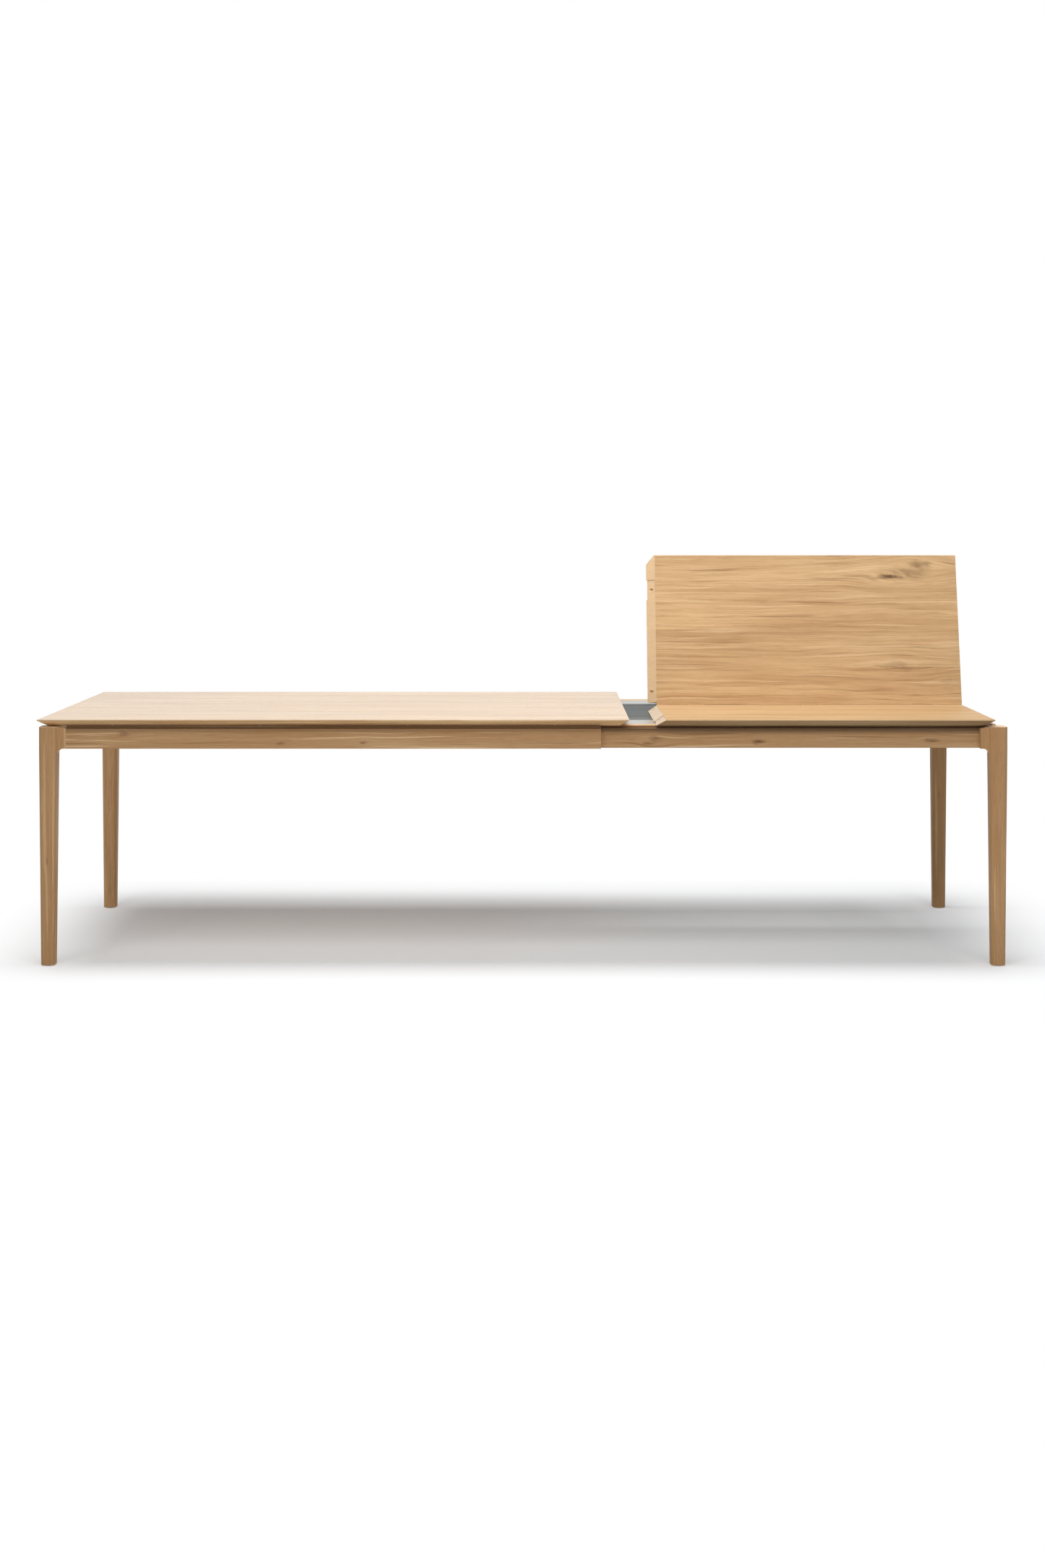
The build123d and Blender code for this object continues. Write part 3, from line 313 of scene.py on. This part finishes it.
    def surface(self, colour, roughness, metallic=0.0, ior=1.45):
        self.put(colour, self.shader.inputs["Base Color"])
        self.put(roughness, self.shader.inputs["Roughness"])
        self.shader.inputs["Metallic"].default_value = metallic
        self.shader.inputs["IOR"].default_value = ior


def wear(nodes, material):
    """Give the named CAD pieces one material."""
    for name in nodes:
        if name not in frame["nodes"]:
            raise RuntimeError(f"no piece named {name}")
        mesh = frame["nodes"][name].data
        mesh.materials.clear()
        mesh.materials.append(material)


def oak(
    name, tone, axes, origin, seed, board_width=None, waver=0.02, knots=(), groove=None, end=None,
    painted_underside_shading=None, streak=1.0, roughness=0.5, ior=1.3,
):
    """Oak: glued boards, wandering streaks, growth rings, pores and knots, along a piece's own length.

    A knot is its place along and across, its length and width, and its strength. A groove is the height it
    starts at, its side of the rail, and the strength of the painted shade in it and of the painted shadow below it.
    """
    wood = bpy.context.scene.oak_table_wood
    weave = Weave(name)
    calc = weave.calc
    start = seed * SEED_STEP
    spot = weave.vector("ADD", weave.place(axes, origin), (start, 0, 0))
    length, width, depth = weave.split(spot)

    # Boards, each with its own tone and its own place in the log
    if board_width:
        lane = calc("DIVIDE", width, board_width)
        board = calc("FLOOR", lane)
        in_board = calc("MULTIPLY", calc("SUBTRACT", calc("FRACT", lane), 0.5), board_width)
        chance = weave.nodes.new("ShaderNodeTexWhiteNoise")
        chance.noise_dimensions = "1D"
        weave.put(calc("ADD", board, seed * BOARD_SEED_STEP), chance.inputs["W"])
        luck = chance.outputs["Value"]
        far = calc("MULTIPLY_ADD", luck, BOARD_STEP, length)
    else:
        in_board = width
        luck = 0.5
        far = length

    # The grain wanders along the board
    still = weave.pack(far, width, depth)
    sway = calc("SUBTRACT", weave.noise(still, (1.5, 4, 4)), 0.5)
    ripple = calc("SUBTRACT", weave.noise(still, (6, 15, 15)), 0.5)
    flow = calc("MULTIPLY_ADD", sway, waver, width)
    flow = calc("MULTIPLY_ADD", ripple, waver * RIPPLE_SHARE, flow)

    # Knots: dark ragged smudges with the grain bent round them
    heart = None
    for along, across, long_size, wide_size, strength in knots:
        middle = weave.vector("SUBTRACT", weave.pack(length, width, 0), (along + start, across, 0))
        away = weave.vector("DIVIDE", middle, (long_size, wide_size, 1))
        reach = weave.vector("LENGTH", away)
        bend = calc("MULTIPLY", weave.ease(reach, KNOT_REACH, 0.0), weave.split(away)[1])
        flow = calc("MULTIPLY_ADD", bend, wide_size * -KNOT_BEND, flow)
        tatter = (1.1 / long_size, 0.9 / wide_size, 0.9 / wide_size)
        ragged = weave.noise(spot, tatter, detail=3, roughness=0.6)
        reach = calc("ADD", reach, calc("MULTIPLY_ADD", ragged, KNOT_RAGGED, -KNOT_RAGGED / 2))
        core = weave.ease(reach, 1.0, 0.0, 0.0, strength)
        heart = core if heart is None else calc("MAXIMUM", heart, core)

    # Growth rings, cut flat through the log, whose middle lies below the board and a little to its side
    run = weave.pack(far, flow, depth)
    below = calc("ADD", depth, calc("MULTIPLY_ADD", sway, PITH_SWAY, PITH_DEPTH))
    beside = calc("ADD", in_board, calc("MULTIPLY_ADD", luck, PITH_SPREAD, -PITH_SPREAD / 2))
    beside = calc("ADD", beside, calc("SUBTRACT", flow, width))
    radius = weave.vector("LENGTH", weave.pack(0, beside, below))
    rings = calc("SINE", calc("MULTIPLY", radius, 2 * math.pi / wood.ring_pitch))

    # Streaks from broad bands to single fibres, a few sharp lines, and the short open pores
    broad = weave.noise(run, (1.1, 15, 15))
    middling = weave.noise(run, (2.4, 64, 64), detail=3, roughness=0.6)
    fine = weave.noise(run, (4.5, 240, 240), detail=3, roughness=0.65)
    lines = weave.noise(weave.vector("ADD", run, (5.1, 0.37, 0)), (1.8, 88, 88), detail=1)
    seams = weave.noise(weave.vector("ADD", run, (9.3, 0.71, 0)), (2.6, 105, 105), detail=1)
    pores = weave.ease(weave.noise(run, (26, 1500, 1500), detail=1), 0.6, 0.72)

    # Each streak: where it starts, where it is full, how much it colours, and its colour
    colour = tone
    for field, faint, full, amount, streak_tone in (
        (broad, 0.38, 0.72, 0.42, wood.latewood),
        (broad, 0.42, 0.24, 0.3, wood.pale_line),
        (middling, 0.48, 0.74, 0.5, wood.latewood),
        (rings, 0.2, 1.0, 0.12, wood.latewood),
        (fine, 0.46, 0.76, 0.4, wood.latewood),
        (fine, 0.44, 0.26, 0.25, wood.pale_line),
        (lines, 0.61, 0.68, 0.5 * streak, wood.pale_line),
        (seams, 0.63, 0.74, 0.42 * streak, wood.pore),
    ):
        colour = weave.blend(weave.ease(field, faint, full, 0.0, amount), colour, streak_tone)
    colour = weave.blend(calc("MULTIPLY", pores, 0.3), colour, wood.pore)
    if board_width:
        colour = weave.shade(colour, calc("MULTIPLY_ADD", luck, 0.06, 0.97))
    if heart is not None:
        smoke = calc("MULTIPLY", heart, weave.ease(fine, 0.25, 0.6, 0.6, 1.0))
        colour = weave.blend(smoke, colour, wood.knot)

    # Faces cut across the grain are plainer and paler
    facing = weave.nodes.new("ShaderNodeTexCoord").outputs["Normal"]
    slant = calc("ABSOLUTE", weave.vector("DOT_PRODUCT", facing, axes[0]))
    colour = weave.blend(weave.ease(slant, 0.25, 0.55, 0.0, 0.75), colour, end or wood.end_grain)

    # Painted light and shade: faces that look down, with the bevel under the edge, are made paler or darker than the
    # face
    if painted_underside_shading:
        down = calc("MULTIPLY", weave.split(facing)[2], -1)
        colour = weave.shade(colour, weave.ease(down, 0.2, 0.6, 1.0, painted_underside_shading))

    # Painted shade: the groove along a rail is darkened on its outer side, and a painted shadow fades out below it
    if groove:
        rise, side, painted_shade, painted_shadow_below = groove
        above = calc("MULTIPLY", calc("GREATER_THAN", width, rise), painted_shade)
        fade = weave.ease(width, rise - GROOVE_FADE, rise, 0.0, painted_shadow_below)
        dark = calc("MULTIPLY_ADD", calc("LESS_THAN", width, rise), fade, above)
        outside = calc("GREATER_THAN", calc("MULTIPLY", depth, side), -GROOVE_MARGIN)
        colour = weave.blend(calc("MULTIPLY", dark, outside), colour, wood.painted_shade)

    weave.surface(colour, calc("MULTIPLY_ADD", pores, 0.2, roughness), ior=ior)
    weave.bump(calc("SUBTRACT", calc("MULTIPLY", fine, 0.6), pores), OAK_RELIEF)
    return weave.material


def brushed(name, tone, roughness, axes=ALONG_TABLE):
    """Metal with fine lines along its length and a little uneven shine."""
    weave = Weave(name)
    spot = weave.place(axes)
    lines = weave.noise(spot, (3, 900, 900), detail=3, roughness=0.6)
    cloud = weave.noise(spot, (6, 9, 9), detail=3)
    level = weave.calc("MULTIPLY_ADD", weave.calc("ADD", lines, cloud), 0.12, 0.88)
    shine = weave.calc("MULTIPLY_ADD", lines, 0.22, roughness - 0.11)
    weave.surface(weave.shade(tone, level), shine, metallic=1.0)
    weave.bump(lines, METAL_RELIEF)
    return weave.material


def coated(name, tone, roughness):
    """Powder coat or moulded plastic: an even colour with a fine orange-peel skin."""
    weave = Weave(name)
    spot = weave.place()
    skin = weave.noise(spot, (900, 900, 900))
    cloud = weave.noise(spot, (5, 5, 5), detail=3)
    level = weave.calc("MULTIPLY_ADD", cloud, 0.16, 0.92)
    shine = weave.calc("MULTIPLY_ADD", skin, 0.2, roughness - 0.1)
    weave.surface(weave.shade(tone, level), shine)
    weave.bump(skin, COAT_RELIEF)
    return weave.material


def felted(name, tone):
    """Pressed felt: matted fibres with no shine."""
    weave = Weave(name)
    fibres = weave.noise(weave.place(), (1400, 700, 1400), detail=4, roughness=0.7, distortion=1.5)
    weave.surface(weave.shade(tone, weave.ease(fibres, 0.25, 0.75, 0.65, 1.2)), 0.95)
    weave.shader.inputs["Sheen Weight"].default_value = 0.4
    weave.bump(fibres, FELT_RELIEF)
    return weave.material


class OAK_TABLE_OT_tops(Operator):
    """Oak of the main top and the two leaf halves"""

    bl_idname = "oak_table.tops"
    bl_label = "Oak tops"

    def execute(self, context):
        wood = context.scene.oak_table_wood
        fold = next(joint for joint in frame["joints"] if joint["name"] == "leaf_fold")
        fold_origin = (0, 0, fold["pos_m"][2])
        lean = math.radians(-fold["range_deg"][0])
        raised = ((1, 0, 0), (0, math.cos(lean), math.sin(lean)), (0, -math.sin(lean), math.cos(lean)))
        # Painted light on the main top's downward faces and bevel, painted shade on the flat leaf half's
        main = oak(
            "oak main top", wood.top_tone, ALONG_TABLE, fold_origin, MAIN_TOP_SEED, wood.board_width,
            painted_underside_shading=1.25, roughness=0.2, ior=1.5,
        )
        front = oak(
            "oak leaf front", wood.flat_painted_shade_tone, ALONG_TABLE, fold_origin, LEAF_FRONT_SEED, wood.board_width,
            end=wood.flat_end, painted_underside_shading=0.65, ior=1.2,
        )
        knots = (
            (1.214, 0.426, 0.075, 0.013, 0.95),
            (1.268, 0.441, 0.1, 0.03, 0.4),
            (1.318, 0.466, 0.05, 0.022, 0.65),
            (1.225, 0.127, 0.075, 0.02, 0.45),
            (1.4, 0.079, 0.07, 0.012, 0.35),
        )
        # The raised half's paler tone is painted light
        back = oak(
            "oak leaf back", wood.raised_painted_light_tone, raised, fold_origin, LEAF_BACK_SEED, wood.board_width,
            waver=0.03, knots=knots,
        )
        wear(["main_top"], main)
        wear(["leaf_front_half"], front)
        wear(["leaf_back_half"], back)
        return {"FINISHED"}


class OAK_TABLE_OT_legs(Operator):
    """Oak of the four legs, with the grain running up"""

    bl_idname = "oak_table.legs"
    bl_label = "Oak legs"

    def execute(self, context):
        wood = context.scene.oak_table_wood
        # How much paler than the frame each leg is, and its knot.
        # The back-left and front-right legs are made paler as painted light, against the shade they stand in.
        legs = {
            "leg_front_left": (1.0, (0.317, -0.002, 0.02, 0.006, 0.4)),
            "leg_back_left": (1.6, (0.345, 0.0, 0.016, 0.005, 0.4)),
            "leg_back_right": (1.0, (0.393, 0.0, 0.03, 0.005, 0.4)),
            "leg_front_right": (1.1, (0.52, 0.006, 0.02, 0.005, 0.25)),
        }
        for seed, (name, (lift, knot)) in enumerate(legs.items(), LEG_SEED):
            tone = tuple(lift * value for value in wood.frame_tone)
            low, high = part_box(name)
            outer = low.x if abs(low.x) > abs(high.x) else high.x
            middle = (outer + math.copysign(LEG_MIDDLE, -outer), math.copysign(LEG_ROW, low.y), 0)
            wear([name], oak("oak " + name, tone, UP_LEG, middle, seed, waver=0.008, knots=(knot,), streak=0.5))
        return {"FINISHED"}


class OAK_TABLE_OT_rails(Operator):
    """Oak of the long rails and the end rails"""

    bl_idname = "oak_table.rails"
    bl_label = "Oak rails"

    def execute(self, context):
        wood = context.scene.oak_table_wood
        knots = {
            "rail_front_left": (
                (-1.212, 0.012, 0.03, 0.01, 0.5),
                (-0.735, -0.016, 0.018, 0.009, 0.6),
                (-0.485, -0.016, 0.016, 0.008, 0.6),
            ),
            "rail_back_left": ((-0.3, 0.005, 0.02, 0.007, 0.4),),
            "rail_front_right": (
                (0.409, -0.006, 0.03, 0.013, 0.6),
                (0.387, -0.019, 0.028, 0.009, 0.7),
                (0.72, -0.014, 0.03, 0.011, 0.8),
                (1.25, -0.012, 0.034, 0.011, 0.6),
            ),
            "rail_back_right": ((0.9, 0.01, 0.02, 0.007, 0.4),),
        }
        for seed, name in enumerate(knots, RAIL_SEED):
            low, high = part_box(name)
            middle = (low + high) / 2
            # Painted shade in the groove and painted shadow below it, stronger under the leaf on the inner rails
            rise = high.z - GROOVE_HEIGHT - GROOVE_MARGIN - middle.z
            painted_shade = OUTER_PAINTED_SHADE if name.endswith("left") else INNER_PAINTED_SHADE
            groove = (rise, math.copysign(1, -middle.y), *painted_shade)
            material = oak(
                "oak " + name, wood.frame_tone, ALONG_RAIL, (0, middle.y, middle.z), seed, waver=0.012,
                knots=knots[name], groove=groove,
            )
            wear([name], material)
        for seed, name in enumerate(("end_rail_left", "end_rail_right"), END_RAIL_SEED):
            low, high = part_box(name)
            middle = (low + high) / 2
            wear([name], oak("oak " + name, wood.frame_tone, ACROSS_TABLE, (middle.x, 0, middle.z), seed))
        return {"FINISHED"}


class OAK_TABLE_OT_battens(Operator):
    """Beech battens and dowels"""

    bl_idname = "oak_table.battens"
    bl_label = "Beech battens and dowels"

    def execute(self, context):
        wood = context.scene.oak_table_wood
        beech = oak("beech", wood.beech, ALONG_RAIL, (0, 0, BEECH_LEVEL), BEECH_SEED)
        wear(["slide_batten_front", "slide_batten_back"], beech)
        wear(["rail_dowels_left", "rail_dowels_right", "top_dowels"], beech)
        return {"FINISHED"}


class OAK_TABLE_OT_slides(Operator):
    """Aluminium channels with steel runners and nylon shoes, and the other nylon pieces"""

    bl_idname = "oak_table.slides"
    bl_label = "Slides"

    def execute(self, context):
        fittings = context.scene.oak_table_fittings
        aluminium = brushed("anodised aluminium", fittings.aluminium, 0.4)
        wear(["slide_channel_front", "slide_channel_back", "tray_edging"], aluminium)
        steel = brushed("rolled steel", fittings.steel, STEEL_ROUGHNESS)
        wear(["slide_runner_front", "slide_runner_back", "stiffener_bars"], steel)
        nylon = coated("nylon", fittings.nylon, 0.5)
        wear(["slide_shoes", "channel_stops", "lift_stops", "leaf_guide_pins"], nylon)
        wear(["foot_glides_left", "foot_glides_right"], nylon)
        return {"FINISHED"}


class OAK_TABLE_OT_lift(Operator):
    """Storage tray with its hangers, arms and shafts, and the steel plates and clips"""

    bl_idname = "oak_table.lift"
    bl_label = "Lift tray"

    def execute(self, context):
        fittings = context.scene.oak_table_fittings
        wear(["storage_tray"], coated("grey coated sheet", fittings.tray, 0.55))
        across = brushed("rolled steel across", fittings.steel, STEEL_ROUGHNESS, ACROSS_TABLE)
        wear(["tie_bar", "tray_hanger_left", "tray_hanger_right", "lift_shafts_left", "lift_shafts_right"], across)
        up = brushed("rolled steel upright", fittings.steel, STEEL_ROUGHNESS, UP_LEG)
        wear(["lift_ears", "tray_ears", "lift_arms_left", "lift_arms_right"], up)
        wear(["corner_plates_left", "corner_plates_right", "top_clips"], up)
        return {"FINISHED"}


class OAK_TABLE_OT_fasteners(Operator):
    """Screws, bolts, nuts, pins and brass fold hinges"""

    bl_idname = "oak_table.fasteners"
    bl_label = "Fasteners and hinges"

    def execute(self, context):
        fittings = context.scene.oak_table_fittings
        zinc = brushed("zinc plate", fittings.zinc, 0.34)
        wear(["leg_bolts_left", "leg_bolts_right", "leg_nuts_left", "leg_nuts_right"], zinc)
        wear(["stiffener_screws", "top_screws", "channel_bolts", "alignment_pins"], zinc)
        brass = brushed("satin brass", fittings.brass, 0.36)
        wear(["hinge_plates_front", "hinge_plates_back", "hinge_pins"], brass)
        wear(["hinge_screws_front", "hinge_screws_back"], brass)
        return {"FINISHED"}


class OAK_TABLE_OT_pads(Operator):
    """Felt pads that the leaf rests on"""

    bl_idname = "oak_table.pads"
    bl_label = "Felt pads"

    def execute(self, context):
        fittings = context.scene.oak_table_fittings
        wear(["rail_pads", "tray_pads"], felted("pressed felt", fittings.felt))
        return {"FINISHED"}


class OAK_TABLE_OT_stage(Operator):
    """Pale floor, white surround, soft lights and the camera"""

    bl_idname = "oak_table.stage"
    bl_label = "Stage"

    def floor(self, stage):
        """Floor that shows the table's shadow, turns to plain white away from it, and bounces light evenly."""
        bpy.ops.mesh.primitive_plane_add(size=FLOOR_SIZE, location=(0, 0, 0))
        floor = bpy.context.object
        floor.name = "floor"
        weave = Weave("pale floor")
        weave.surface(stage.floor_tone, 0.9)
        weave.shader.inputs["Specular IOR Level"].default_value = 0.0

        along, across, _ = weave.split(weave.place(origin=SHADOW_MIDDLE))
        side = weave.ease(weave.calc("ABSOLUTE", along), *SHADOW_ALONG, 1.0, 0.0)
        end = weave.ease(weave.calc("ABSOLUTE", across), *SHADOW_ACROSS, 1.0, 0.0)
        away = weave.calc("SUBTRACT", 1.0, weave.calc("MULTIPLY", side, end))
        lifted = weave.nodes.new("ShaderNodeAddShader")
        weave.join(weave.shader.outputs[0], lifted.inputs[0])
        weave.join(weave.glow(stage.haze), lifted.inputs[1])
        shown = weave.layer(away, lifted.outputs[0], weave.glow(1.0))

        bounce = weave.nodes.new("ShaderNodeBsdfDiffuse")
        weave.put([stage.bounce] * 3, bounce.inputs["Color"])
        ray = weave.nodes.new("ShaderNodeLightPath")
        seen = weave.calc("MAXIMUM", ray.outputs["Is Camera Ray"], ray.outputs["Is Glossy Ray"])
        weave.join(weave.layer(seen, bounce.outputs[0], shown), weave.out.inputs["Surface"])
        floor.data.materials.append(weave.material)

    def surround(self, scene, stage):
        """World that looks white, and lights the table only a little."""
        world = bpy.data.worlds.new("studio")
        scene.world = world
        world.use_nodes = True
        nodes = world.node_tree.nodes
        links = world.node_tree.links
        ground = nodes["Background"]
        ground.inputs["Color"].default_value = (*WHITE, 1)
        ray = nodes.new("ShaderNodeLightPath")
        seen = nodes.new("ShaderNodeMath")
        seen.operation = "MAXIMUM"
        links.new(ray.outputs["Is Camera Ray"], seen.inputs[0])
        links.new(ray.outputs["Is Glossy Ray"], seen.inputs[1])
        strength = nodes.new("ShaderNodeMapRange")
        strength.inputs["To Min"].default_value = stage.ambient
        strength.inputs["To Max"].default_value = 1.0
        links.new(seen.outputs[0], strength.inputs["Value"])
        links.new(strength.outputs[0], ground.inputs["Strength"])

    def lamp(self, scene, name, power, size, place, aim):
        """Large soft light that faces a point."""
        light = bpy.data.lights.new(name, "AREA")
        light.shape = "RECTANGLE"
        light.size, light.size_y = size
        light.energy = power
        lamp = bpy.data.objects.new(name, light)
        lamp.location = place
        lamp.rotation_euler = (Vector(aim) - lamp.location).to_track_quat("-Z", "Y").to_euler()
        scene.collection.objects.link(lamp)

    def camera(self, scene, stage):
        """Level camera, shifted so that the eye's own row and column sit where the photo has them."""
        lens = bpy.data.cameras.new("camera")
        lens.lens = stage.lens
        lens.sensor_width = SENSOR_WIDTH
        lens.shift_x = (IMAGE_WIDTH / 2 - stage.level_x) / IMAGE_HEIGHT
        lens.shift_y = (stage.level_y - IMAGE_HEIGHT / 2) / IMAGE_HEIGHT
        lens.clip_end = VIEW_DEPTH
        camera = bpy.data.objects.new("camera", lens)
        camera.location = stage.eye
        camera.rotation_euler = (math.pi / 2, 0, 0)
        scene.collection.objects.link(camera)
        scene.camera = camera

    def execute(self, context):
        scene = context.scene
        stage = scene.oak_table_stage
        scene.view_settings.view_transform = "Standard"
        self.floor(stage)
        self.surround(scene, stage)
        self.lamp(scene, "overhead light", stage.key, *OVERHEAD_LIGHT)
        self.lamp(scene, "front light", stage.fill, *FRONT_LIGHT)
        self.camera(scene, stage)
        return {"FINISHED"}


STEPS = (
    OAK_TABLE_OT_tops,
    OAK_TABLE_OT_legs,
    OAK_TABLE_OT_rails,
    OAK_TABLE_OT_battens,
    OAK_TABLE_OT_slides,
    OAK_TABLE_OT_lift,
    OAK_TABLE_OT_fasteners,
    OAK_TABLE_OT_pads,
    OAK_TABLE_OT_stage,
)


class OAK_TABLE_PT_steps(Panel):
    """Steps that finish the table"""

    bl_idname = "OAK_TABLE_PT_steps"
    bl_label = "Oak table"
    bl_space_type = "VIEW_3D"
    bl_region_type = "UI"
    bl_category = "Oak table"

    def draw(self, context):
        scene = context.scene
        for group in (scene.oak_table_wood, scene.oak_table_fittings, scene.oak_table_stage):
            box = self.layout.box()
            for name in group.__annotations__:
                box.prop(group, name)
        for step in STEPS:
            self.layout.operator(step.bl_idname)


CLASSES = (OakTableWood, OakTableFittings, OakTableStage, *STEPS, OAK_TABLE_PT_steps)


def register():
    for cls in CLASSES:
        bpy.utils.register_class(cls)
    bpy.types.Scene.oak_table_wood = PointerProperty(type=OakTableWood)
    bpy.types.Scene.oak_table_fittings = PointerProperty(type=OakTableFittings)
    bpy.types.Scene.oak_table_stage = PointerProperty(type=OakTableStage)


def unregister():
    del bpy.types.Scene.oak_table_stage
    del bpy.types.Scene.oak_table_fittings
    del bpy.types.Scene.oak_table_wood
    for cls in reversed(CLASSES):
        bpy.utils.unregister_class(cls)


def main():
    register()
    bpy.ops.oak_table.tops()
    bpy.ops.oak_table.legs()
    bpy.ops.oak_table.rails()
    bpy.ops.oak_table.battens()
    bpy.ops.oak_table.slides()
    bpy.ops.oak_table.lift()
    bpy.ops.oak_table.fasteners()
    bpy.ops.oak_table.pads()
    bpy.ops.oak_table.stage()
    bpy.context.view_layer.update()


if __name__ == "__main__":
    main()
